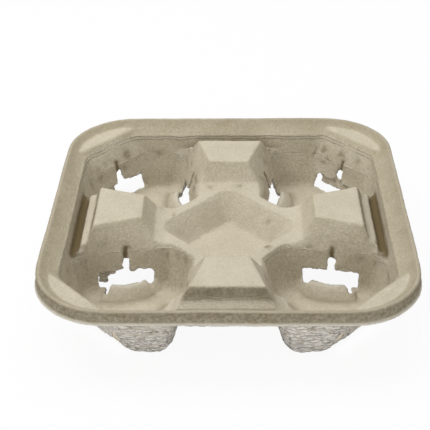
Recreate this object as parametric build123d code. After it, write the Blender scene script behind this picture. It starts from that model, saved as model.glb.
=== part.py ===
from build123d import *
import os
from math import atan2, cos, dist, radians, sin, sqrt, tan

os.makedirs("parts", exist_ok=True)

# A tray of moulded paper pulp that carries four cups. It is one sheet of pulp of even
# thickness: four tapered wells, four hollow islands between them, a sunk middle and a
# turned-down rim. Sizes in millimetres, z measured up from the feet, centre at x = y = 0.

# The rim. The plan sizes further down are those of a 215 mm tray and keep their share.
tray_side = 215.0
share_of_side = tray_side / 215.0
rim_corner_radius = 42.0 * share_of_side
tray_height = 46.0
wall = 2.0
flange_reach = 1.0
flange_depth = 1.4
skirt_depth = 8.6
rim_land = 2.0
rim_chamfer = 0.6
shelf_chamfer = 1.4
rim_slope_run = 8.6
rim_slope_drop = 7.4
rim_ledge = 0.7

# Wells. Their walls lean in two stages, below and above the hinge line of the flaps.
floor_top = wall
hinge_drop = 20.0
outer_wall_lean = 0.197
facet_at_shelf = 116.7 * share_of_side
facet_at_hinge = 107.5 * share_of_side
facet_at_floor = 101.5 * share_of_side
shelf_drop = 4.0
middle_wall_at_crest = 37.5 * share_of_side
middle_wall_at_floor = 47.0 * share_of_side
well_floor_round = 4.0
facet_corner_round = 11.0 * share_of_side
outer_corner_round = 9.5 * share_of_side
inner_corner_round = 5.0 * share_of_side
edge_round = 1.5

# Islands between the wells, as a section from the tray's centre outwards. The widths are
# from the section's middle line to the well at the top, the hinge line and the foot, and
# island_flare is how much wider an island gets per millimetre outwards, up to its hinge.
island_drop = 3.0
island_inner = 52.0 * share_of_side
island_outer = 80.0 * share_of_side
island_inner_half = 12.5 * share_of_side
island_outer_half = 20.0 * share_of_side
hinge_inner = 45.0 * share_of_side
hinge_inner_half = 22.5 * share_of_side
foot_inner = 38.0 * share_of_side
foot_inner_half = 28.0 * share_of_side
island_flare = 0.14
crest_drop = 17.5
inner_step_start = 39.0 * share_of_side
inner_step_end = 45.0 * share_of_side
inner_step_rise = 2.5
shoulder_run = 4.0 * share_of_side
shoulder_drop = 7.5
shelf_run = 5.4 * share_of_side
shelf_fall = 2.5
groove_wall_run = 2.0 * share_of_side
groove_drop = 17.5
arm_half = 40.0 * share_of_side

# Sunk middle
recess_half_top = 31.5 * share_of_side
recess_half_floor = 18.5 * share_of_side
recess_depth = 15.5
recess_tip_cut = 1.2

# Curved lips that stand on the well floors below the openings in the island walls. They
# rise from the opening's near end, fall before its far end and stop short of that end.
lip_middle = 66.0 * share_of_side
lip_reach = 43.0 * share_of_side
lip_radius = 35.0 * share_of_side
lip_lean = 0.9
lip_top = 8.8
lip_near_rise = 5.0 * share_of_side
lip_far_fall = 8.0 * share_of_side
lip_stop = 2.0 * share_of_side

# Openings, and the slit above each one that parts its two flaps. The flaps end at a share
# of the way up from the hole's bottom to the hinge line.
hole_inner = 45.0 * share_of_side
hole_outer = 78.0 * share_of_side
hole_bottom = 4.6
flap_end_share = 0.42
flap_middle_share = 0.46
slit_width = 4.4
slit_taper = 0.6
slit_above_hinge = 3.2
corner_hole_half = 17.5 * share_of_side

root2 = sqrt(2.0)
half = tray_side / 2 - flange_reach
slope_foot = tray_height - rim_slope_drop
outer_wall_at_top = half - rim_land - rim_slope_run - rim_ledge
outer_wall_at_floor = outer_wall_at_top - outer_wall_lean * (slope_foot - floor_top)
crest_height = tray_height - crest_drop
island_height = tray_height - island_drop
groove_height = tray_height - groove_drop
shelf_height = tray_height - shelf_drop
hinge_height = tray_height - hinge_drop
flap_end_height = hole_bottom + flap_end_share * (hinge_height - hole_bottom)
flap_middle_height = hole_bottom + flap_middle_share * (hinge_height - hole_bottom)
below = -6.0


def meet(line_a, line_b):
    """Point where two plan lines a*x + b*y = c cross."""
    a1, b1, c1 = line_a
    a2, b2, c2 = line_b
    det = a1 * b2 - a2 * b1
    return ((c1 * b2 - c2 * b1) / det, (a1 * c2 - a2 * c1) / det)


def sunk(points, depth):
    """A section line moved square to itself into the pulp, straight by straight."""
    lines = []
    for (r1, z1), (r2, z2) in zip(points, points[1:]):
        length = sqrt((r2 - r1) ** 2 + (z2 - z1) ** 2)
        a = (z2 - z1) / length
        b = -(r2 - r1) / length
        lines.append((a, b, a * r1 + b * z1 + depth))
    first = (points[0][0], points[0][1] - depth)
    last = (points[-1][0], points[-1][1] - depth)
    return [first] + [meet(m, n) for m, n in zip(lines, lines[1:])] + [last]


def mix(low, high, share):
    return low + (high - low) * share


def facet_reach(z):
    """Distance of a well's corner facet from the tray's centre, on the diagonal."""
    if z >= hinge_height:
        share = (z - hinge_height) / (shelf_height - hinge_height)
        return mix(facet_at_hinge, facet_at_shelf, share)
    share = (z - floor_top) / (hinge_height - floor_top)
    return mix(facet_at_floor, facet_at_hinge, share)


def outer_wall(z):
    return outer_wall_at_floor + outer_wall_lean * (z - floor_top)


def island_wall(z):
    """The two ends, in plan, of the wall that a well shares with the island at +x."""
    foot_end = outer_wall(floor_top)
    foot_end_half = foot_inner_half + island_flare * (foot_end - foot_inner)
    foot = ((foot_inner, foot_inner_half), (foot_end, foot_end_half))
    hinge_end = outer_wall(hinge_height)
    hinge_end_half = hinge_inner_half + island_flare * (hinge_end - hinge_inner)
    hinge = ((hinge_inner, hinge_inner_half), (hinge_end, hinge_end_half))
    top = ((island_inner, island_inner_half), (island_outer, island_outer_half))
    if z >= hinge_height:
        share = (z - hinge_height) / (island_height - hinge_height)
        low_ends, high_ends = hinge, top
    else:
        share = (z - floor_top) / (hinge_height - floor_top)
        low_ends, high_ends = foot, hinge
    ends = []
    for low, high in zip(low_ends, high_ends):
        ends.append((mix(low[0], high[0], share), mix(low[1], high[1], share)))
    return ends


def held_radii(points, radii):
    """Corner radii, made smaller where two of them would overrun the wall between."""
    reaches = []
    for i, radius in enumerate(radii):
        (x1, y1), (x2, y2), (x3, y3) = points[i - 1], points[i], points[(i + 1) % len(points)]
        turn = atan2(y3 - y2, x3 - x2) - atan2(y2 - y1, x2 - x1)
        reaches.append(radius * abs(tan(turn / 2)))
    shares = [1.0] * len(points)
    for i, point in enumerate(points):
        before = i - 1
        room = 0.98 * dist(points[before], point)
        share = min(1.0, room / (reaches[before] + reaches[i]))
        shares[before] = min(shares[before], share)
        shares[i] = min(shares[i], share)
    return [radius * share for radius, share in zip(radii, shares)]


def well_outline(z, depth):
    """Plan outline of one well at height z, widened by the sheet where depth is given."""
    outer = outer_wall(z) + depth
    facet = facet_reach(z) + depth
    climb = (z - floor_top) / (crest_height - floor_top)
    middle = mix(middle_wall_at_floor, middle_wall_at_crest, climb) - depth
    near, far = island_wall(z)
    slope = (far[1] - near[1]) / (far[0] - near[0])
    start = near[1] - slope * near[0] - depth * sqrt(1 + slope ** 2)
    wall_x = (1.0, 0.0, outer)
    wall_y = (0.0, 1.0, outer)
    corner = (1.0, 1.0, facet * root2)
    crest = (1.0, 1.0, middle * root2)
    island_x = (-slope, 1.0, start)
    island_y = (1.0, -slope, start)
    lines = [island_x, wall_x, corner, wall_y, island_y, crest]
    points = [meet(m, n) for m, n in zip(lines, lines[1:] + lines[:1])]
    face = Face(Polyline([(*point, z) for point in points], close=True).wire())
    radii = [outer_corner_round, facet_corner_round, facet_corner_round]
    radii += [outer_corner_round, inner_corner_round, inner_corner_round]
    radii = held_radii(points, [radius + max(depth, 0.0) for radius in radii])
    for point, radius in zip(points, radii):
        vertex = face.vertices().sort_by_distance((*point, z))[0]
        face = face.fillet_2d(radius, [vertex])
    return face


def well(depth):
    """The space of one cup well as a ruled loft: rounded floor, hinge line, open top."""
    reach = well_floor_round + depth
    outlines = []
    for angle in (0, 45, 90):
        inset = reach * (1 - sin(radians(angle)))
        z = floor_top - depth + reach * (1 - cos(radians(angle)))
        outlines.append(well_outline(z, depth - inset))
    outlines.append(well_outline(hinge_height, depth))
    outlines.append(well_outline(tray_height + 4.0, depth))
    return loft(outlines, ruled=True)


def lip(x, y, depth):
    """A curved curb on the well floor, part of a cone about an upright line at x, y."""
    high = lip_top + 2 * wall - depth
    sheet = depth * sqrt(1 + lip_lean ** 2)
    foot = lip_radius - lip_lean * (below - floor_top) - sheet
    head = lip_radius - lip_lean * (high - floor_top) - sheet
    upright = (Align.CENTER, Align.CENTER, Align.MIN)
    return Pos(x, y, below) * Cone(foot, head, high - below, align=upright)


def lips(depth):
    """The two lips of the well at +x +y, one along each island wall."""
    across = lip_reach - lip_radius
    both = lip(lip_middle, across, depth) + lip(across, lip_middle, depth)
    end = hole_outer - lip_stop - depth
    corner = (Align.MIN, Align.MIN, Align.MIN)
    return both & Pos(0, 0, below) * Box(end, end, 2 * hinge_height, align=corner)


def rounded_block(half_side, corner, z_low, z_high):
    plan = RectangleRounded(2 * half_side, 2 * half_side, corner)
    return extrude(Pos(0, 0, z_low) * plan, z_high - z_low)


def rim_slope(depth):
    """The space inside the rim, above its inner slope."""
    grow = depth * sqrt(1 + (rim_slope_run / rim_slope_drop) ** 2)
    inner = half - rim_land
    outlines = []
    for z in (slope_foot, tray_height + 4.0):
        reach = inner + (z - tray_height) * rim_slope_run / rim_slope_drop + grow
        corner = rim_corner_radius - (half - reach)
        plan = RectangleRounded(2 * reach, 2 * reach, corner)
        outlines.append(Pos(0, 0, z) * plan)
    return loft(outlines, ruled=True)


def arm_space(depth):
    """The space for the island at +x, out to the outer wall and down past the groove."""
    low = min(groove_height, crest_height) - depth - 1.0
    outlines = []
    for z in (low, slope_foot + 1.0):
        reach = outer_wall(z) + depth
        plan = Rectangle(reach, 2 * arm_half, align=(Align.MIN, Align.CENTER))
        outlines.append(Pos(0, 0, z) * plan)
    return loft(outlines, ruled=True)


def island_strip(depth):
    """One arm of the raised middle, seen in section from the tray's centre outwards."""
    line = [(0.0, crest_height), (inner_step_start, crest_height)]
    line.append((inner_step_end, crest_height + inner_step_rise))
    line.append((island_inner, island_height))
    line.append((island_outer, island_height))
    line.append((island_outer + shoulder_run, island_height - shoulder_drop))
    last_r, last_z = line[-1]
    line.append((last_r + shelf_run, last_z - shelf_fall))
    line.append((last_r + shelf_run + groove_wall_run, groove_height))
    line.append((outer_wall_at_floor + 8.0, groove_height))
    low = sunk(line, depth)
    low += [(low[-1][0], below), (0.0, below)]
    profile = Face(Polyline([(r, 0.0, z) for r, z in low], close=True).wire())
    return extrude(Pos(0, arm_half, 0) * profile, 2 * arm_half, dir=(0, -1, 0))


def corner_shelf(depth):
    """The filled corner between the rim and a well's facet, up to the crescent shelf."""
    reach = half - depth - 1.0
    outlines = []
    for z in (hinge_height + 4.0, shelf_height - depth):
        short = (facet_reach(z) + depth) * root2 - reach
        points = [(reach, short, z), (reach, reach, z), (short, reach, z)]
        outlines.append(Face(Polyline(points, close=True).wire()))
    block = loft(outlines, ruled=True)
    return block & rounded_block(reach, rim_corner_radius - depth - 1.0, 0.0, tray_height)


def sunk_middle(depth):
    """The diamond-shaped hollow at the centre, its corners cut off towards the islands."""
    floor = crest_height - recess_depth
    lean = (recess_half_top - recess_half_floor) / recess_depth
    tip_top = inner_step_start
    tip_floor = recess_half_floor * root2 - recess_tip_cut
    tip_lean = (tip_top - tip_floor) / recess_depth
    outlines = []
    for z in (floor - depth, crest_height + 7.0):
        side = recess_half_floor + lean * (z - floor) + depth * sqrt(1 + lean ** 2)
        tip = tip_floor + tip_lean * (z - floor) + depth * sqrt(1 + tip_lean ** 2)
        cut = side * root2 - tip
        points = []
        for turn in range(4):
            for x, y in ((tip, -cut), (tip, cut)):
                for _ in range(turn):
                    x, y = -y, x
                points.append((x, y, z))
        outlines.append(Face(Polyline(points, close=True).wire()))
    return loft(outlines, ruled=True)


def under_skin(depth):
    """Everything below the tray's upper face, that face lowered square to itself."""
    body = rounded_block(half - depth, rim_corner_radius - depth, below, tray_height - depth)
    body -= rim_slope(depth)
    for turn in range(4):
        body -= Rot(0, 0, 90 * turn) * arm_space(depth)
    for turn in range(4):
        body += Rot(0, 0, 90 * turn) * island_strip(depth)
        body += Rot(0, 0, 90 * turn) * corner_shelf(depth)
    body -= sunk_middle(depth)
    cup_well = well(depth)
    for turn in range(4):
        body -= Rot(0, 0, 90 * turn) * cup_well
    well_lips = lips(depth)
    for turn in range(4):
        body += Rot(0, 0, 90 * turn) * well_lips
    return body


def opening(near, middle, far, sill):
    """Side view of an opening and its slit along a wall, above the sill's points."""
    slit_near = middle - slit_width / 2
    slit_far = middle + slit_width / 2
    slit_top = hinge_height + slit_above_hinge
    points = [(near, flap_end_height), (slit_near, flap_middle_height)]
    points += [(slit_near + slit_taper, slit_top), (slit_far - slit_taper, slit_top)]
    points += [(slit_far, flap_middle_height), (far, flap_end_height)]
    points += [(far, hole_bottom)] + sill + [(near, hole_bottom)]
    return Face(Polyline([(r, 0.0, z) for r, z in points], close=True).wire())


def side_cutout():
    """The openings through both side walls of the island at +x."""
    reach = lip_reach + 5.0
    lip_near = hole_inner + lip_near_rise
    lip_far = hole_outer - lip_far_fall
    sill = [(lip_far + (lip_top - hole_bottom) / 2, hole_bottom), (lip_far, lip_top)]
    sill += [(lip_near, lip_top)]
    face = opening(hole_inner, (hole_inner + hole_outer) / 2, hole_outer, sill)
    return extrude(Pos(0, reach, 0) * face, 2 * reach, dir=(0, -1, 0))


def corner_cutout():
    """The opening through the facet in the corner at +x +y."""
    face = Rot(0, 0, 90) * opening(-corner_hole_half, 0.0, corner_hole_half, [])
    near = facet_at_floor - well_floor_round - 1.0
    return Rot(0, 0, 45) * extrude(Pos(near, 0, 0) * face, 40.0, dir=(1, 0, 0))


def skirt_trim():
    """The space under the rim, outside the walls of the wells."""
    low = below - 2.0
    skirt_foot = tray_height - skirt_depth
    ring = rounded_block(half + 5.0, rim_corner_radius, low, skirt_foot)
    keep = half - 8.0
    return ring - rounded_block(keep, rim_corner_radius - 8.0, low, skirt_foot + 1.0)


def flange():
    base = tray_height - skirt_depth
    ring = rounded_block(half + flange_reach, rim_corner_radius, base, base + flange_depth)
    return ring - rounded_block(half - wall / 2, rim_corner_radius - 1, base - 1, base + 4)


def level_edges(solid, z, near, far):
    """Edges at height z whose middle has |x| + |y| from near to far tray sides."""
    found = []
    for edge in solid.edges():
        middle = edge @ 0.5
        heights = [(edge @ 0).Z, middle.Z, (edge @ 1).Z]
        spread = (abs(middle.X) + abs(middle.Y)) / tray_side
        if max(abs(h - z) for h in heights) < 0.05 and near < spread < far:
            found.append(edge)
    return found


def softened(solid):
    """The upper form with the rounded edges that wet pulp leaves over a mould."""
    solid = fillet(level_edges(solid, island_height, 0.19, 0.56), edge_round)
    shelf_line = facet_at_shelf * root2 / tray_side
    shelf_edges = level_edges(solid, shelf_height, shelf_line - 0.001, shelf_line + 0.001)
    solid = chamfer(shelf_edges, shelf_chamfer)
    solid = fillet(level_edges(solid, crest_height, 0.093, 0.214), edge_round)
    return chamfer(level_edges(solid, tray_height, 0.465, 1.12), rim_chamfer)


outer_form = softened(under_skin(0.0))
hollow = under_skin(wall)
tray = outer_form - hollow - skirt_trim() + flange()
for turn in range(4):
    tray -= Rot(0, 0, 90 * turn) * side_cutout()
    tray -= Rot(0, 0, 90 * turn) * corner_cutout()

export_step(tray, "parts/cup_carrier.step")
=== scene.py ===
"""A four-cup carrier of moulded paper pulp, dressed for a studio view.

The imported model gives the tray's true solid. This file lays over it the skin of pressed
pulp: soft bends, lumps, rough torn cut-outs and the wrinkled outside of the feet.
All lengths are in metres. The feet stand at height 0, and the tray's middle is the origin.
"""

import math

import bmesh
import bpy
from mathutils import Matrix, Vector, bvhtree, noise


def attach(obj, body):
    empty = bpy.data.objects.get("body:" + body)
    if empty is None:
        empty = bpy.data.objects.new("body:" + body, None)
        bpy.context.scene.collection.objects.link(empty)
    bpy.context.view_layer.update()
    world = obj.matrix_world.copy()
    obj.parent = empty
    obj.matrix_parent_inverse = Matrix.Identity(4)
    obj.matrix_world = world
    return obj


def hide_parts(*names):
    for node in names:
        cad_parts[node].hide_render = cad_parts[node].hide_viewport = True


bl_info = {
    "name": "Pulp cup carrier",
    "version": (1, 0, 0),
    "blender": (4, 5, 0),
    "location": "View3D > Sidebar > Cup carrier",
    "description": "Dresses a moulded-pulp cup carrier and sets up its studio",
    "category": "Object",
}

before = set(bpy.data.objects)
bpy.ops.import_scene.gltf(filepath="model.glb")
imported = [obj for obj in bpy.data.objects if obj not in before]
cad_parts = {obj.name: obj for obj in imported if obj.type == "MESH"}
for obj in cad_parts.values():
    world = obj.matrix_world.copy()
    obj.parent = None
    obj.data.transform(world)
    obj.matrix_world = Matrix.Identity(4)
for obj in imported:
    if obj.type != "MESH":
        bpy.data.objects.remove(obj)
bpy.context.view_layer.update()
MM = 0.001
TRAY_NODE = "cup_carrier"
MERGE_DISTANCE = 0.002 * MM

# What each vertex tells the material, from 0 to 1. Those in SPREAD_TWICE are blurred more.
MARKS = ("outside", "steep", "incline", "torn", "nook", "dark", "skirt", "fibres_and_highlight", "wall")
SPREAD_TWICE = ("outside", "steep", "torn")
# Rays and reach that measure how closed in a vertex is, for the painted shade in the nooks.
NOOK_RAYS = 14
NOOK_REACH = 26 * MM
DEEPEST_LOOK = 12 * MM

# Leaves of pulp. A leaf's wall is looked for a margin past both its ends, from a place in
# the well: WELL_PLACE out from the middle for an island's side wall, and CORNER_PLACE out
# for a corner facet. The slits beside the islands are SLIT_REACH out.
LEAF_MARGIN = 3.0 * MM
WALL_SEARCH = 60 * MM
WEB_HALF_WIDTH = 2.9 * MM
SLIT_REACH = 61.5 * MM
WELL_PLACE = 60 * MM
CORNER_PLACE = 80 * MM
# Each level of a leaf: its height, the height at which its wall is looked for, and how far
# the leaf stands out from the wall.
# The slits' webs are thin sheets painted dark brown, as painted shadow.
SLIT_WEB = (
    (21.5 * MM, 21.5 * MM, 0.0),
    (25.9 * MM, 25.9 * MM, 0.0),
    (29.6 * MM, 29.6 * MM, 0.0),
)
DROOPING_LEAF = ((9.0 * MM, 17.0 * MM, 9.0 * MM), (15.5 * MM, 20.0 * MM, 0.0))
HANGING_LEAF = ((8.8 * MM, 17.0 * MM, 0.0), (15.5 * MM, 20.0 * MM, 0.0))
# Depths of a leaf's two sides behind the face of its wall.
SUNK = (1.0 * MM, 2.0 * MM)
FLUSH = (0.2 * MM, 1.8 * MM)

# Spans over which a share rises or falls. A ray straight into a torn edge crosses more pulp
# than the sheet is thick, and a ray into a web crosses less. FACES_DOWN is for how far a
# normal points down.
TORN_DEPTH = (2.9 * MM, 4.0 * MM)
WEB_DEPTH = (1.25 * MM, 1.55 * MM)
FACES_DOWN = (-0.06, 0.1)

# The thin flange round the rim's foot: its heights, how far out it starts along a side, and
# the sum of both distances out past which a point counts as its corner.
FLANGE_LEVELS = (36.4 * MM, 39.8 * MM)
FLANGE_REACH = 104.5 * MM
FLANGE_CORNER = 178 * MM

# Lines in the pulp: the seam at the flaps' hinges, and two scores at the rim's inner foot.
HINGE_SEAM = 26.2 * MM
RIM_SCORES = (37.4 * MM, 35.6 * MM)

# The curved lip on a well's floor, an arc about a point under each island: how far out and
# how far across that point is.
LIP_CENTRE = (66 * MM, 8 * MM)
LIP_FOOT_RADIUS = 35.6 * MM

FLOOR_HALF_SIDE = 6.0
FLOOR_GLOW = 0.93
SENSOR_MM = 36.0


class CarrierSkin(bpy.types.PropertyGroup):
    """Shape of the pulp skin laid over the solid tray"""

    seed: bpy.props.IntProperty(
        name="Seed",
        description="Picks the warp and the notches of the torn edges",
        default=1795889089,
        min=1,
    )
    mesh_step: bpy.props.FloatProperty(
        name="Mesh step",
        description="Side of the even quads that the skin is made of",
        default=0.8 * MM,
        unit="LENGTH",
        precision=5,
    )
    rounding_passes: bpy.props.IntProperty(
        name="Rounding passes",
        description="How often the skin is smoothed, which rounds its bends",
        default=2,
    )
    rim_passes: bpy.props.IntProperty(
        name="Rim rounding passes",
        description="The same for the thin flange under the rim",
        default=1,
    )
    triangles: bpy.props.IntProperty(
        name="Triangles",
        description="Triangles that the finished skin keeps",
        default=190000,
    )
    warp_height: bpy.props.FloatProperty(
        name="Warp",
        description="How far the drying sheet wanders from its true form",
        default=0.3 * MM,
        unit="LENGTH",
        precision=5,
    )
    warp_size: bpy.props.FloatProperty(
        name="Warp size",
        description="Distance between two swells of the warped sheet",
        default=22 * MM,
        unit="LENGTH",
        precision=5,
    )
    lump_height: bpy.props.FloatProperty(
        name="Lump height",
        description="Height of the small lumps in the skin",
        default=0.12 * MM,
        unit="LENGTH",
        precision=5,
    )
    lump_size: bpy.props.FloatProperty(
        name="Lump size",
        description="Distance between two small lumps",
        default=4.5 * MM,
        unit="LENGTH",
        precision=5,
    )
    tear_depth: bpy.props.FloatProperty(
        name="Tear depth",
        description="How far a torn edge wanders in and out",
        default=1.1 * MM,
        unit="LENGTH",
        precision=5,
    )
    tear_size: bpy.props.FloatProperty(
        name="Tear size",
        description="Distance between two notches of a torn edge",
        default=3.2 * MM,
        unit="LENGTH",
        precision=5,
    )
    flap_bend: bpy.props.FloatProperty(
        name="Flap bend",
        description="How far the flaps round the openings are pushed in or out",
        default=1.5 * MM,
        unit="LENGTH",
        precision=5,
    )
    wrinkle_height: bpy.props.FloatProperty(
        name="Wrinkle height",
        description="Height of the wrinkles on the rough outside of the feet",
        default=0.6 * MM,
        unit="LENGTH",
        precision=5,
    )
    facet_tuck: bpy.props.FloatProperty(
        name="Facet tuck",
        description="How far the cut corner of each foot is tucked in at its bottom",
        default=2.5 * MM,
        unit="LENGTH",
        precision=5,
    )
    groove_opening: bpy.props.FloatProperty(
        name="Groove opening",
        description="How far the groove beside each island opens towards the island",
        default=1.8 * MM,
        unit="LENGTH",
        precision=5,
    )


class CarrierColours(bpy.types.PropertyGroup):
    """Colours of the pulp"""

    cream: bpy.props.FloatVectorProperty(
        name="Cream",
        description="Dry pulp on the smooth upper side",
        default=(0.665, 0.605, 0.485),
        subtype="COLOR",
        size=3,
        min=0.0,
        max=1.0,
    )
    # Beige also carries painted shade: steep faces and the rim's slopes are blended further
    # towards it.
    beige: bpy.props.FloatVectorProperty(
        name="Beige",
        description="Darker clouds and flecks in the pulp",
        default=(0.40, 0.345, 0.225),
        subtype="COLOR",
        size=3,
        min=0.0,
        max=1.0,
    )
    # Brown is mostly painted shade and shadow: in the nooks with some staining, the grooves, the
    # slits' webs, the wrinkles' creases, the scores, the feet of the lips and the rim, and a
    # little along torn edges.
    brown: bpy.props.FloatVectorProperty(
        name="Brown",
        description="Pulp in the deep nooks, the grooves and the slits",
        default=(0.17, 0.125, 0.06),
        subtype="COLOR",
        size=3,
        min=0.0,
        max=1.0,
    )
    # Painted shade on the outer face of the turned-down rim, broken into blotches of its own
    # mottle.
    skirt: bpy.props.FloatVectorProperty(
        name="Skirt",
        description="Grey-brown blotches on the turned-down rim",
        default=(0.19, 0.16, 0.10),
        subtype="COLOR",
        size=3,
        min=0.0,
        max=1.0,
    )
    # Pale fibres on the hinge seams and torn edges, and painted highlight along the flange under
    # the rim and on the lips' crests.
    pale_fibre_and_highlight: bpy.props.FloatVectorProperty(
        name="Fibre",
        description="Pale fibres along flash lines and torn edges",
        default=(0.78, 0.73, 0.62),
        subtype="COLOR",
        size=3,
        min=0.0,
        max=1.0,
    )
    # The rough outside's pale tone is made lighter still as painted light, for the light that
    # the floor throws up onto the feet.
    outside: bpy.props.FloatVectorProperty(
        name="Outside",
        description="The rough side that lay on the mould's mesh",
        default=(0.93, 0.88, 0.81),
        subtype="COLOR",
        size=3,
        min=0.0,
        max=1.0,
    )


class CarrierStudio(bpy.types.PropertyGroup):
    """Camera and light of the studio"""

    eye: bpy.props.FloatVectorProperty(
        name="Eye",
        description="Place of the camera",
        default=(0.0056, -0.5135, 0.3787),
        subtype="TRANSLATION",
        size=3,
    )
    pan: bpy.props.FloatProperty(
        name="Pan",
        description="Turn of the camera about the upright, to the right",
        default=math.radians(-1.54),
        unit="ROTATION",
    )
    tilt: bpy.props.FloatProperty(
        name="Tilt",
        description="How far the camera looks down",
        default=math.radians(33.72),
        unit="ROTATION",
    )
    roll: bpy.props.FloatProperty(
        name="Roll",
        description="Turn of the camera about its own line of sight",
        default=math.radians(-0.94),
        unit="ROTATION",
    )
    lens_mm: bpy.props.FloatProperty(
        name="Lens",
        description="Focal length on a 36 mm sensor",
        default=84.47,
    )
    floor: bpy.props.FloatVectorProperty(
        name="Floor",
        description="Colour of the studio floor",
        default=(0.85, 0.85, 0.85),
        subtype="COLOR",
        size=3,
        min=0.0,
        max=1.0,
    )
    key_watts: bpy.props.FloatProperty(
        name="Key light",
        description="Power of the main lamp, high on the left",
        default=5.6,
        unit="POWER",
    )
    top_watts: bpy.props.FloatProperty(
        name="Top light",
        description="Power of the wide lamp overhead",
        default=4.2,
        unit="POWER",
    )
    front_watts: bpy.props.FloatProperty(
        name="Front light",
        description="Power of the lamp low in front",
        default=3.0,
        unit="POWER",
    )
    room_light: bpy.props.FloatProperty(
        name="Room light",
        description="Strength of the even light from all round",
        default=0.4,
    )


def modified_copy(source, kind, **settings):
    """The source mesh after one modifier, as a new mesh."""
    holder = bpy.data.objects.new("holder", source)
    bpy.context.scene.collection.objects.link(holder)
    modifier = holder.modifiers.new("change", kind)
    for name, value in settings.items():
        setattr(modifier, name, value)
    depsgraph = bpy.context.evaluated_depsgraph_get()
    changed = bpy.data.meshes.new_from_object(holder.evaluated_get(depsgraph))
    bpy.data.objects.remove(holder)
    return changed


def smooth(mesh_edit, vertices, passes):
    """Draw each vertex halfway to the middle of its neighbours, passes times."""
    for _ in range(passes):
        bmesh.ops.smooth_vert(
            mesh_edit,
            verts=vertices,
            factor=0.5,
            use_axis_x=True,
            use_axis_y=True,
            use_axis_z=True,
        )


def neighbours(mesh_edit):
    """For each vertex, the indices of the vertices that it shares an edge with."""
    return [[e.other_vert(v).index for e in v.link_edges] for v in mesh_edit.verts]


def spread(values, links, passes):
    """Each vertex's value averaged with its neighbours', passes times."""
    for _ in range(passes):
        values = [
            0.5 * values[i] + 0.5 * sum(values[j] for j in near) / len(near)
            for i, near in enumerate(links)
        ]
    return values


def ramp(value, low, high):
    """0 below low, 1 above high, and a soft rise between them."""
    share = min(1.0, max(0.0, (value - low) / (high - low)))
    return share * share * (3.0 - 2.0 * share)


def fall(value, low, high):
    """1 below low, 0 above high, and a soft fall between them."""
    return 1.0 - ramp(value, low, high)


def reach_and_across(at):
    """How far out a point lies towards its side of the tray, and how far along that side."""
    return max(abs(at.x), abs(at.y)), min(abs(at.x), abs(at.y))


def sheet_depth(tree, vertex):
    """Distance through the pulp, straight in from the surface at a vertex."""
    start = vertex.co - vertex.normal * 0.05 * MM
    distance = tree.ray_cast(start, -vertex.normal, DEEPEST_LOOK)[3]
    return DEEPEST_LOOK if distance is None else distance


def dome_directions(count):
    """Directions spread over the upper half ball, more of them near its top."""
    turn = math.pi * (3.0 - math.sqrt(5.0))
    directions = []
    for index in range(count):
        flat = math.sqrt((index + 0.5) / count)
        height = math.sqrt(1.0 - flat * flat)
        angle = turn * index
        directions.append(Vector((flat * math.cos(angle), flat * math.sin(angle), height)))
    return directions


def closeness(tree, vertex, directions, reach):
    """Share of the outlook from a vertex that other parts of the tray close off."""
    outward = vertex.normal.to_track_quat("Z", "Y")
    start = vertex.co + vertex.normal * 0.2 * MM
    closed = 0.0
    for direction in directions:
        distance = tree.ray_cast(start, outward @ direction, reach)[3]
        if distance is not None:
            closed += 1.0 - distance / reach
    return closed / len(directions)


class PulpNodes:
    """Short way to add shader nodes and join them."""

    def __init__(self, material):
        self.tree = material.node_tree
        self.tree.nodes.clear()

    def add(self, kind, settings=None, **inputs):
        """A new node with its settings, and its inputs set or joined by name."""
        node = self.tree.nodes.new(kind)
        for name, value in (settings or {}).items():
            setattr(node, name, value)
        for name, value in inputs.items():
            self.put(node, name.replace("_", " "), value)
        return node

    def put(self, node, name, value):
        """Join a socket, or set a plain value, to the input with a name or a number."""
        socket = node.inputs[int(name)] if name.isdigit() else node.inputs[name]
        if isinstance(value, bpy.types.NodeSocket):
            self.tree.links.new(value, socket)
        else:
            socket.default_value = value

    def maths(self, operation, first, second=0.0):
        node = self.tree.nodes.new("ShaderNodeMath")
        node.operation = operation
        self.put(node, "0", first)
        self.put(node, "1", second)
        return node.outputs[0]

    def plus(self, first, second):
        return self.maths("ADD", first, second)

    def minus(self, first, second):
        return self.maths("SUBTRACT", first, second)

    def times(self, first, second):
        return self.maths("MULTIPLY", first, second)

    def blend(self, share, first, second):
        """The first colour at share 0, the second at share 1."""
        node = self.tree.nodes.new("ShaderNodeMix")
        node.data_type = "RGBA"
        self.put(node, "0", share)
        for index, value in ((6, first), (7, second)):
            if isinstance(value, bpy.types.NodeSocket):
                self.tree.links.new(value, node.inputs[index])
            else:
                node.inputs[index].default_value = (*value[:3], 1.0)
        return node.outputs[2]

    def levels(self, value, low, high, to_low=0.0, to_high=1.0):
        """The value moved from low and high to to_low and to_high, and held between them."""
        node = self.tree.nodes.new("ShaderNodeMapRange")
        self.put(node, "0", value)
        for index, number in ((1, low), (2, high), (3, to_low), (4, to_high)):
            node.inputs[index].default_value = number
        return node.outputs[0]

    def noise(self, place, size, detail=3.0, roughness=0.55):
        """Noise from 0 to 1 whose marks are about one size apart."""
        node = self.add(
            "ShaderNodeTexNoise",
            Vector=place,
            Scale=1.0 / size,
            Detail=detail,
            Roughness=roughness,
        )
        return node.outputs["Fac"]

    def pulse(self, value, centre, width):
        """1 where the value is the centre, falling to 0 a width away."""
        distance = self.maths("ABSOLUTE", self.minus(value, centre))
        return self.levels(distance, 0.0, width, 1.0, 0.0)

    def join_up(self, value):
        """One number as all three parts of a vector."""
        node = self.tree.nodes.new("ShaderNodeCombineXYZ")
        for index in range(3):
            self.tree.links.new(value, node.inputs[index])
        return node.outputs[0]

    def attribute(self, name):
        return self.add("ShaderNodeAttribute", {"attribute_name": name}).outputs["Fac"]


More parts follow.
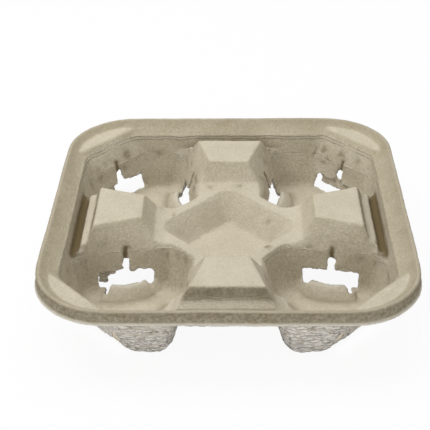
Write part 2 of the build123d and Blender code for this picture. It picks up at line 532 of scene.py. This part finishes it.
def pulp_shade(nodes, place, clouds, mottle, marks):
    """How far the pulp goes from cream to beige, by flecks, mottle and clouds, and by painted
    shade on the steep faces and the rim's slopes.
    """
    flecks = nodes.noise(place, size=1.3 * MM, detail=4.0, roughness=0.75)
    flecks = nodes.levels(flecks, low=0.36, high=0.64)
    grain = nodes.plus(nodes.times(flecks, 0.42), nodes.times(mottle, 0.2))
    # Steep faces get more of the grain: more mottle, and painted shade that makes them darker
    # and yellower.
    rough = nodes.plus(0.85, nodes.times(marks["steep"], 0.6))
    shade = nodes.times(nodes.minus(grain, 0.12), rough)
    shade = nodes.plus(shade, nodes.times(clouds, 0.18))
    # Painted shade on the rim's slopes.
    return nodes.plus(shade, nodes.times(marks["incline"], 0.42))


def wrinkle_lines(nodes, place, outside):
    """Creases round small cells, drawn out sideways, on the rough outside."""
    stretch = nodes.add("ShaderNodeMapping", Vector=place)
    stretch.inputs["Scale"].default_value = (0.42, 0.42, 1.0)
    wandering = nodes.noise(place, size=6 * MM, detail=2.0)
    shifted = nodes.add("ShaderNodeVectorMath", {"operation": "MULTIPLY_ADD"})
    nodes.put(shifted, "0", nodes.join_up(wandering))
    shifted.inputs[1].default_value = (0.0, 0.0, 2.5 * MM)
    nodes.put(shifted, "2", stretch.outputs["Vector"])
    cells = nodes.add(
        "ShaderNodeTexVoronoi",
        {"feature": "DISTANCE_TO_EDGE"},
        Vector=shifted.outputs[0],
        Scale=1.0 / (2.2 * MM),
    )
    inner = nodes.levels(cells.outputs["Distance"], low=0.0, high=0.2)
    return nodes.times(nodes.minus(1.0, inner), outside)


def nook_shade_and_stain(nodes, clouds, marks):
    """Painted shade, with some brown staining, in the nooks of the smooth side: browner where
    other parts close off more of the outlook.
    """
    shade_and_stain = nodes.levels(clouds, low=0.0, high=1.0, to_low=0.95, to_high=1.06)
    shade_and_stain = nodes.levels(nodes.times(marks["nook"], shade_and_stain), low=0.42, high=0.74)
    shade_and_stain = nodes.times(shade_and_stain, nodes.minus(1.0, marks["outside"]))
    return nodes.maths("POWER", shade_and_stain, 1.4)


def mould_lines(nodes, place, wall, dark):
    """The broken pale seam at the hinges, and the two scores at the rim's inner foot."""
    height = nodes.add("ShaderNodeSeparateXYZ", Vector=place).outputs["Z"]
    waver = nodes.minus(nodes.noise(place, size=11 * MM), 0.5)
    line = nodes.plus(height, nodes.times(waver, 4 * MM))
    broken = nodes.levels(nodes.noise(place, size=7 * MM), low=0.45, high=0.55)
    seam = nodes.times(nodes.pulse(line, HINGE_SEAM, width=0.45 * MM), broken)
    seam = nodes.times(nodes.times(seam, wall), nodes.minus(1.0, dark))
    upper, lower = (nodes.pulse(line, score, width=0.3 * MM) for score in RIM_SCORES)
    return seam, nodes.times(nodes.plus(upper, lower), wall)


def pulp_bump(nodes, place, wrinkles, torn, lines):
    """The fine relief: grain, creases, frayed edges, the raised seam and the sunk scores."""
    seam, scores = lines
    coarse = nodes.noise(place, size=2.4 * MM, detail=4.0, roughness=0.6)
    fine = nodes.noise(place, size=0.9 * MM, detail=4.0, roughness=0.7)
    height = nodes.minus(nodes.plus(coarse, fine), nodes.times(wrinkles, 1.6))
    height = nodes.plus(height, nodes.times(torn, 0.5))
    height = nodes.plus(height, nodes.minus(seam, scores))
    return nodes.add("ShaderNodeBump", Height=height, Strength=0.9, Distance=0.75 * MM)


def pulp_material(colours):
    """Matt pulp: clouds, flecks and fibres, painted shade in the nooks, creases, grooves and
    slits, painted highlight on the flange and the lips, and a wrinkled rough outside.
    """
    material = bpy.data.materials.new("moulded_pulp")
    material.use_nodes = True
    nodes = PulpNodes(material)
    place = nodes.add("ShaderNodeTexCoord").outputs["Object"]
    marks = {name: nodes.attribute(name) for name in MARKS}
    outside, torn = marks["outside"], marks["torn"]
    # The dark mark's painted shade and shadow, with the torn edges a little browner.
    dark = nodes.maths("MAXIMUM", marks["dark"], nodes.times(torn, 0.3))
    clouds = nodes.levels(nodes.noise(place, size=16 * MM, detail=4.0), low=0.35, high=0.7)
    mottle = nodes.noise(place, size=3.2 * MM, detail=5.0, roughness=0.65)
    mottle = nodes.levels(mottle, low=0.3, high=0.7)
    blotch = nodes.noise(place, size=2.0 * MM, detail=4.0, roughness=0.7)
    blotch = nodes.levels(blotch, low=0.35, high=0.65, to_low=0.4, to_high=0.95)
    wrinkles = wrinkle_lines(nodes, place, outside)
    # Painted shade in the creases of the wrinkles on the outside, deeper where the mottle is.
    crevice = nodes.times(wrinkles, nodes.levels(mottle, low=0.35, high=0.8))
    lines = mould_lines(nodes, place, marks["wall"], dark)
    seam, scores = lines

    shade = pulp_shade(nodes, place, clouds, mottle, marks)
    colour = nodes.blend(shade, colours.cream, colours.beige)
    for share, layer in (
        (nodes.times(outside, 0.92), colours.outside),
        (nodes.times(crevice, 0.65), colours.brown),
        # Painted shade in the nooks, with some brown staining.
        (nook_shade_and_stain(nodes, clouds, marks), colours.brown),
        # Painted shade on the outer face of the turned-down rim, broken into blotches.
        (nodes.times(marks["skirt"], blotch), colours.skirt),
        # Painted shade and shadow of the dark mark, in brown.
        (dark, colours.brown),
        (nodes.times(seam, 0.7), colours.pale_fibre_and_highlight),
        # Painted shade in the two sunk scores.
        (nodes.times(scores, 0.3), colours.brown),
        # Pale fibres on torn edges, and painted highlight on the flange and the lips' crests.
        (nodes.times(marks["fibres_and_highlight"], 0.8), colours.pale_fibre_and_highlight),
    ):
        colour = nodes.blend(share, colour, layer)

    bump = pulp_bump(nodes, place, wrinkles, torn, lines)
    shader = nodes.add("ShaderNodeBsdfPrincipled", Roughness=0.92, Base_Color=colour)
    shader.inputs["Specular IOR Level"].default_value = 0.25
    nodes.put(shader, "Normal", bump.outputs["Normal"])
    output = nodes.add("ShaderNodeOutputMaterial")
    nodes.put(output, "Surface", shader.outputs[0])
    return material


def merged_solid(node):
    """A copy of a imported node's mesh with its loose triangles joined."""
    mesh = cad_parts[node].data.copy()
    edit = bmesh.new()
    edit.from_mesh(mesh)
    bmesh.ops.remove_doubles(edit, verts=edit.verts, dist=MERGE_DISTANCE)
    edit.to_mesh(mesh)
    edit.free()
    return mesh


def leaf(edit, tree, centre, heading, ends, levels, depths):
    """A leaf of pulp in an opening, set into the wall that it hangs from.

    The wall stands square to the heading, and centre is a point in front of it. The leaf
    runs along the wall from one end to the other. Each level is its height, the height at
    which the wall is looked for, and how far the leaf stands out from the wall there. The
    depths are those of its two sides.
    """
    along = Vector((-heading.y, heading.x, 0.0))
    verts = []
    for level, probe, out in levels:
        feet = []
        for side in (ends[0] - LEAF_MARGIN, ends[1] + LEAF_MARGIN):
            start = centre + along * side + Vector((0.0, 0.0, probe))
            hit = tree.ray_cast(start, heading, WALL_SEARCH)[0]
            if hit is None:
                raise RuntimeError("no wall behind a leaf of pulp")
            feet.append(hit - Vector((0.0, 0.0, probe)))
        for side in ends:
            share = (side - ends[0] + LEAF_MARGIN) / (ends[1] - ends[0] + 2 * LEAF_MARGIN)
            foot = feet[0].lerp(feet[1], share) + heading * (depths[0] - out)
            verts.append(edit.verts.new(foot + Vector((0.0, 0.0, level))))
    faces = []
    for low in range(0, len(verts) - 2, 2):
        corners = (verts[low], verts[low + 1], verts[low + 3], verts[low + 2])
        faces.append(edit.faces.new(corners))
    grown = bmesh.ops.extrude_face_region(edit, geom=faces)["geom"]
    back = [part for part in grown if isinstance(part, bmesh.types.BMVert)]
    bmesh.ops.translate(edit, verts=back, vec=heading * (depths[1] - depths[0]))


def close_slits(edit, tree):
    """Thin webs over the tops of the slits beside the islands and in the corner facets, painted
    dark brown as the shadow seen through the slits.
    """
    width = (-WEB_HALF_WIDTH, WEB_HALF_WIDTH)
    for quarter in range(4):
        turn = Matrix.Rotation(math.radians(90 * quarter), 3, "Z")
        for side in (-1, 1):
            centre = turn @ Vector((SLIT_REACH, side * WELL_PLACE, 0.0))
            heading = turn @ Vector((0.0, -side, 0.0))
            leaf(edit, tree, centre, heading, width, SLIT_WEB, SUNK)
        heading = (turn @ Vector((1.0, 1.0, 0.0))).normalized()
        leaf(edit, tree, heading * CORNER_PLACE, heading, width, SLIT_WEB, SUNK)


def hang_shadow_scraps(edit, tree):
    """Two stepped scraps in the hole that the left island has on its front side, thin enough to
    be painted dark brown as painted shadow.
    """
    centre, heading = Vector((-SLIT_REACH, -WELL_PLACE, 0.0)), Vector((0.0, 1.0, 0.0))
    for ends, foot in (
        ((11.0 * MM, 17.0 * MM), 5.5 * MM),
        ((6.0 * MM, 11.5 * MM), 10.5 * MM),
    ):
        scrap = ((foot, 17.0 * MM, 0.0), (15.0 * MM, 20.0 * MM, 0.0))
        leaf(edit, tree, centre, heading, ends, scrap, SUNK)


def hang_leaves(edit, tree):
    """Leaves that droop beside the front island, and that hang in the corner facets."""
    for side in (-1, 1):
        centre = Vector((side * WELL_PLACE, -63.5 * MM, 0.0))
        heading = Vector((-side, 0.0, 0.0))
        leaf(edit, tree, centre, heading, (-14.5 * MM, 14.5 * MM), DROOPING_LEAF, FLUSH)
    whole, half = (-14 * MM, 14 * MM), (6 * MM, 16 * MM)
    for corner, ends in (
        ((1.0, 1.0), whole),
        ((-1.0, 1.0), half),
        ((1.0, -1.0), whole),
        ((-1.0, -1.0), whole),
    ):
        heading = Vector((*corner, 0.0)).normalized()
        leaf(edit, tree, heading * CORNER_PLACE, heading, ends, HANGING_LEAF, FLUSH)


def add_leaves(mesh):
    """Close the tops of the slits with thin pulp painted dark as shadow, and hang the torn
    leaves.
    """
    edit = bmesh.new()
    edit.from_mesh(mesh)
    tree = bvhtree.BVHTree.FromBMesh(edit)
    close_slits(edit, tree)
    hang_shadow_scraps(edit, tree)
    hang_leaves(edit, tree)
    bmesh.ops.recalc_face_normals(edit, faces=edit.faces[:])
    edit.to_mesh(mesh)
    edit.free()


def under_the_rim(at):
    """Whether a point lies on the thin flange round the foot of the rim."""
    level = FLANGE_LEVELS[0] < at.z < FLANGE_LEVELS[1]
    straight = max(abs(at.x), abs(at.y)) > FLANGE_REACH
    corner = abs(at.x) + abs(at.y) > FLANGE_CORNER
    return level and (straight or corner)


def foot_wrinkle(at, normal):
    """Wrinkles like small bricks on the outside of the feet."""
    share = ramp(-normal.z, *FACES_DOWN) * fall(at.z, 30 * MM, 36 * MM)
    if share == 0.0:
        return 0.0
    length, height = 3.4 * MM, 1.7 * MM
    squashed = Vector((at.x / length, at.y / length, at.z / height))
    ridge = 1.0 - 2.6 * abs(noise.noise(squashed))
    return share * (ridge - 0.4)


def groove_shift(at):
    """Direction, and share of the way, in which the groove beside an island opens."""
    reach, across = reach_and_across(at)
    foot, end = 22 * MM, 40 * MM
    if at.z < foot or across > end:
        return Vector()
    share = ramp(reach, 80 * MM, 88 * MM) * fall(reach, 91.6 * MM, 93.2 * MM)
    share *= fall(across, 34 * MM, end)
    share *= ramp(at.z, foot, 26 * MM)
    if abs(at.x) > abs(at.y):
        return Vector((-math.copysign(share, at.x), 0.0, 0.0))
    return Vector((0.0, -math.copysign(share, at.y), 0.0))


def facet_shift(at):
    """Direction, and share of the way, in which a foot's cut corner is tucked in."""
    share = ramp((abs(at.x) + abs(at.y)) / math.sqrt(2), 86 * MM, 98 * MM)
    share *= fall(at.z, 4 * MM, 26 * MM)
    return Vector((-math.copysign(share, at.x), -math.copysign(share, at.y), 0.0)) / math.sqrt(2)


def press(mesh, skin):
    """Round the bends, let the sheet wander and lump, and tear its free edges."""
    noise.seed_set(skin.seed)
    edit = bmesh.new()
    edit.from_mesh(mesh)
    soft = [v for v in edit.verts if not under_the_rim(v.co)]
    smooth(edit, edit.verts[:], skin.rim_passes)
    smooth(edit, soft, skin.rounding_passes - skin.rim_passes)
    edit.normal_update()
    tree = bvhtree.BVHTree.FromBMesh(edit)
    torn = []
    for vertex in edit.verts:
        low = vertex.co.z < 33 * MM
        torn.append(ramp(sheet_depth(tree, vertex), *TORN_DEPTH) if low else 0.0)
    links = neighbours(edit)
    torn = spread(torn, links, 3)
    flaps = spread(torn, links, 9)
    for vertex, tear, flap in zip(edit.verts, torn, flaps):
        at = vertex.co.copy()
        middle = fall(at.xy.length, 26 * MM, 48 * MM)
        swell = noise.noise_vector(at / skin.warp_size) * skin.warp_height
        swell *= 1.0 + 2.5 * middle
        lump = noise.noise(at / skin.lump_size) * skin.lump_height
        lump += foot_wrinkle(at, vertex.normal) * skin.wrinkle_height
        bend = noise.noise(at / (9 * MM)) * skin.flap_bend * min(1.0, 2.5 * flap)
        rip = noise.noise_vector(at / skin.tear_size) * skin.tear_depth * min(1.0, 2.0 * tear)
        vertex.co += swell + vertex.normal * (lump + bend) + rip
        vertex.co += groove_shift(at) * skin.groove_opening
        vertex.co += facet_shift(at) * skin.facet_tuck
        vertex.co.z = max(0.0, vertex.co.z)
    edit.to_mesh(mesh)
    edit.free()


def groove_share(at, normal):
    """Painted shade: how far a point lies in the groove between an island and the rim, painted
    dark, more beside the left and right islands than at the front and back.
    """
    reach, across = reach_and_across(at)
    share = ramp(reach, 87.2 * MM, 88.6 * MM) * fall(reach, 93.6 * MM, 94.6 * MM)
    share *= fall(across, 33 * MM, 36 * MM)
    share *= ramp(at.z, 27 * MM, 28 * MM) * fall(at.z, 31 * MM, 33 * MM)
    side = 1.0 if abs(at.x) > abs(at.y) else 0.4
    return side * share * ramp(normal.z, -0.1, 0.1)


def on_skirt(at, normal):
    """How far a point belongs to the outer face of the turned-down rim."""
    out = (at.x * normal.x + at.y * normal.y) / max(at.xy.length, MM)
    return ramp(out, 0.6, 0.9) * ramp(at.z, 38.2 * MM, 39.2 * MM)


def lip_marks(at):
    """Shares of the painted shade in the crevice at a lip's foot and of the painted highlight on
    its crest.
    """
    reach, across = reach_and_across(at)
    if at.z > 11 * MM or across < 26 * MM or not 44 * MM < reach < 79 * MM:
        return 0.0, 0.0
    distance = math.hypot(reach - LIP_CENTRE[0], across - LIP_CENTRE[1])
    foot = fall(abs(distance - LIP_FOOT_RADIUS), 0.6 * MM, 2.2 * MM)
    crest = ramp(at.z, 6.6 * MM, 8.2 * MM) * ramp(distance, 26 * MM, 28 * MM)
    return foot * fall(at.z, 3.0 * MM, 5.0 * MM), crest


def marks_at(vertex, tree, directions):
    """What the material needs to know of the tray's form at one vertex."""
    at, normal = vertex.co, vertex.normal
    depth = sheet_depth(tree, vertex)
    outside = ramp(-normal.z, *FACES_DOWN) if at.z < 36 * MM else ramp(-normal.z, 0.1, 0.4)
    steep = fall(normal.z, 0.35, 0.85)
    tilted = ramp(normal.z, 0.5, 0.66) * fall(normal.z, 0.82, 0.93)
    torn = ramp(depth, *TORN_DEPTH)
    flap_edge = torn * ramp(at.z, 11 * MM, 13 * MM) * fall(at.z, 30 * MM, 32 * MM)
    # Painted shadow: pulp thinner than the sheet, as in the slits' webs and the scraps, is
    # painted dark brown.
    web = fall(depth, *WEB_DEPTH) if at.z < 32 * MM else 0.0
    web *= ramp(at.z, 19 * MM, 21 * MM)
    crevice, crest = lip_marks(at)
    crevice *= ramp(normal.z, -0.1, 0.2)
    skirt = on_skirt(at, normal)
    # Painted shade along the foot of the turned-down rim.
    rim_foot = skirt * fall(at.z, 39.6 * MM, 40.6 * MM)
    # Painted highlight along the thin flange under the rim.
    flange = 1.0 if at.z < 38.9 * MM and under_the_rim(at) else 0.0
    far = ramp(reach_and_across(at)[0], 80 * MM, 86 * MM)
    return {
        "outside": outside,
        "steep": steep,
        # Painted shade on the rim's slopes.
        "incline": tilted * ramp(at.z, 35 * MM, 38 * MM),
        "torn": torn,
        # Painted shade in the nooks, with some brown staining.
        "nook": closeness(tree, vertex, directions, NOOK_REACH),
        # Painted shade and shadow: the slits' webs, the grooves, the rim's foot and the lips'
        # feet.
        "dark": max(web, groove_share(at, normal), 0.6 * rim_foot, 0.45 * crevice),
        "skirt": skirt,
        # Pale fibres on the torn flap edges, and painted highlight on the flange and the lips'
        # crests.
        "fibres_and_highlight": max(flange, 0.5 * flap_edge * (1.0 - web), 0.6 * crest),
        "wall": steep * (1.0 - outside) * max(far, fall(at.z, 30 * MM, 32 * MM)),
    }


def paint(mesh):
    """Store the marks of every vertex in attributes that the material reads."""
    edit = bmesh.new()
    edit.from_mesh(mesh)
    edit.normal_update()
    tree = bvhtree.BVHTree.FromBMesh(edit)
    directions = dome_directions(NOOK_RAYS)
    links = neighbours(edit)
    marks = [marks_at(vertex, tree, directions) for vertex in edit.verts]
    for name in MARKS:
        passes = 2 if name in SPREAD_TWICE else 1
        values = spread([mark[name] for mark in marks], links, passes)
        mesh.attributes.new(name, "FLOAT", "POINT").data.foreach_set("value", values)
    edit.free()


class CARRIER_OT_tray(bpy.types.Operator):
    """Lay the pulp skin over the solid tray"""

    bl_idname = "cup_carrier.tray"
    bl_label = "Pulp tray"

    def execute(self, context):
        skin = context.scene.carrier_skin
        mesh = merged_solid(TRAY_NODE)
        add_leaves(mesh)
        mesh = modified_copy(mesh, "REMESH", mode="VOXEL", voxel_size=skin.mesh_step)
        press(mesh, skin)
        share = skin.triangles / (2.0 * len(mesh.polygons))
        mesh = modified_copy(mesh, "DECIMATE", ratio=min(1.0, share))
        paint(mesh)
        for polygon in mesh.polygons:
            polygon.use_smooth = True
        mesh.materials.clear()
        mesh.materials.append(pulp_material(context.scene.carrier_colours))
        tray = bpy.data.objects.new("pulp_tray", mesh)
        context.scene.collection.objects.link(tray)
        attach(tray, "root")
        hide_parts(TRAY_NODE)
        return {"FINISHED"}


class CARRIER_OT_studio(bpy.types.Operator):
    """Set up the floor, the lamps, the room light and the camera"""

    bl_idname = "cup_carrier.studio"
    bl_label = "Studio"

    def execute(self, context):
        studio = context.scene.carrier_studio
        self.lay_floor(context, studio)
        self.hang_lamps(context, studio)
        self.light_room(context, studio)
        self.place_camera(context, studio)
        context.scene.view_settings.view_transform = "Standard"
        return {"FINISHED"}

    def lay_floor(self, context, studio):
        mesh = bpy.data.meshes.new("studio_floor")
        edit = bmesh.new()
        bmesh.ops.create_grid(edit, x_segments=1, y_segments=1, size=FLOOR_HALF_SIDE)
        edit.to_mesh(mesh)
        edit.free()
        floor = bpy.data.objects.new("studio_floor", mesh)
        context.scene.collection.objects.link(floor)
        material = bpy.data.materials.new("pale_floor")
        material.use_nodes = True
        nodes = PulpNodes(material)
        seen = nodes.add("ShaderNodeLightPath").outputs["Is Camera Ray"]
        paint = nodes.add("ShaderNodeBsdfDiffuse")
        paint.inputs["Color"].default_value = (*studio.floor, 1.0)
        glow = nodes.add("ShaderNodeEmission", Strength=1.0)
        mixed = nodes.add("ShaderNodeMixShader")
        nodes.put(mixed, "0", nodes.times(seen, FLOOR_GLOW))
        nodes.put(mixed, "1", paint.outputs[0])
        nodes.put(mixed, "2", glow.outputs[0])
        output = nodes.add("ShaderNodeOutputMaterial")
        nodes.put(output, "Surface", mixed.outputs[0])
        mesh.materials.append(material)

    def hang_lamps(self, context, studio):
        lamps = (
            ("key_lamp", (-0.42, 0.1, 0.95), 0.6, studio.key_watts),
            ("top_lamp", (0.2, 0.35, 1.1), 0.9, studio.top_watts),
            ("front_lamp", (-0.1, -0.95, 0.16), 0.5, studio.front_watts),
        )
        for name, place, side, watts in lamps:
            light = bpy.data.lights.new(name, "AREA")
            light.shape = "SQUARE"
            light.size = side
            light.energy = watts
            lamp = bpy.data.objects.new(name, light)
            lamp.location = place
            lamp.rotation_euler = (-Vector(place)).to_track_quat("-Z", "Y").to_euler()
            context.scene.collection.objects.link(lamp)

    def light_room(self, context, studio):
        world = bpy.data.worlds.new("room")
        world.use_nodes = True
        nodes = PulpNodes(world)
        path = nodes.add("ShaderNodeLightPath")
        lit = nodes.add("ShaderNodeBackground", Strength=studio.room_light)
        white = nodes.add("ShaderNodeBackground", Strength=1.0)
        for background in (lit, white):
            background.inputs["Color"].default_value = (1.0, 1.0, 1.0, 1.0)
        mixed = nodes.add("ShaderNodeMixShader")
        nodes.put(mixed, "0", path.outputs["Is Camera Ray"])
        nodes.put(mixed, "1", lit.outputs[0])
        nodes.put(mixed, "2", white.outputs[0])
        output = nodes.add("ShaderNodeOutputWorld")
        nodes.put(output, "Surface", mixed.outputs[0])
        context.scene.world = world

    def place_camera(self, context, studio):
        camera = bpy.data.objects.new("studio_camera", bpy.data.cameras.new("studio_camera"))
        camera.data.sensor_width = SENSOR_MM
        camera.data.lens = studio.lens_mm
        turn = Matrix.Rotation(-studio.pan, 4, "Z")
        turn @= Matrix.Rotation(math.pi / 2 - studio.tilt, 4, "X")
        turn @= Matrix.Rotation(studio.roll, 4, "Z")
        camera.matrix_world = Matrix.Translation(studio.eye) @ turn
        context.scene.collection.objects.link(camera)
        context.scene.camera = camera


class CARRIER_PT_panel(bpy.types.Panel):
    """Lists the carrier's settings and pieces"""

    bl_label = "Cup carrier"
    bl_idname = "CARRIER_PT_panel"
    bl_space_type = "VIEW_3D"
    bl_region_type = "UI"
    bl_category = "Cup carrier"

    def draw(self, context):
        layout = self.layout
        for group in ("carrier_skin", "carrier_colours", "carrier_studio"):
            settings = getattr(context.scene, group)
            box = layout.box()
            for name in settings.__annotations__:
                box.prop(settings, name)
        for operator in (CARRIER_OT_tray, CARRIER_OT_studio):
            layout.operator(operator.bl_idname)


CLASSES = (
    CarrierSkin,
    CarrierColours,
    CarrierStudio,
    CARRIER_OT_tray,
    CARRIER_OT_studio,
    CARRIER_PT_panel,
)


def register():
    for part in CLASSES:
        bpy.utils.register_class(part)
    bpy.types.Scene.carrier_skin = bpy.props.PointerProperty(type=CarrierSkin)
    bpy.types.Scene.carrier_colours = bpy.props.PointerProperty(type=CarrierColours)
    bpy.types.Scene.carrier_studio = bpy.props.PointerProperty(type=CarrierStudio)


def unregister():
    del bpy.types.Scene.carrier_skin
    del bpy.types.Scene.carrier_colours
    del bpy.types.Scene.carrier_studio
    for part in reversed(CLASSES):
        bpy.utils.unregister_class(part)


def build_carrier():
    """Register the classes and run the operators in order."""
    register()
    bpy.ops.cup_carrier.tray()
    bpy.ops.cup_carrier.studio()


if __name__ == "__main__":
    build_carrier()
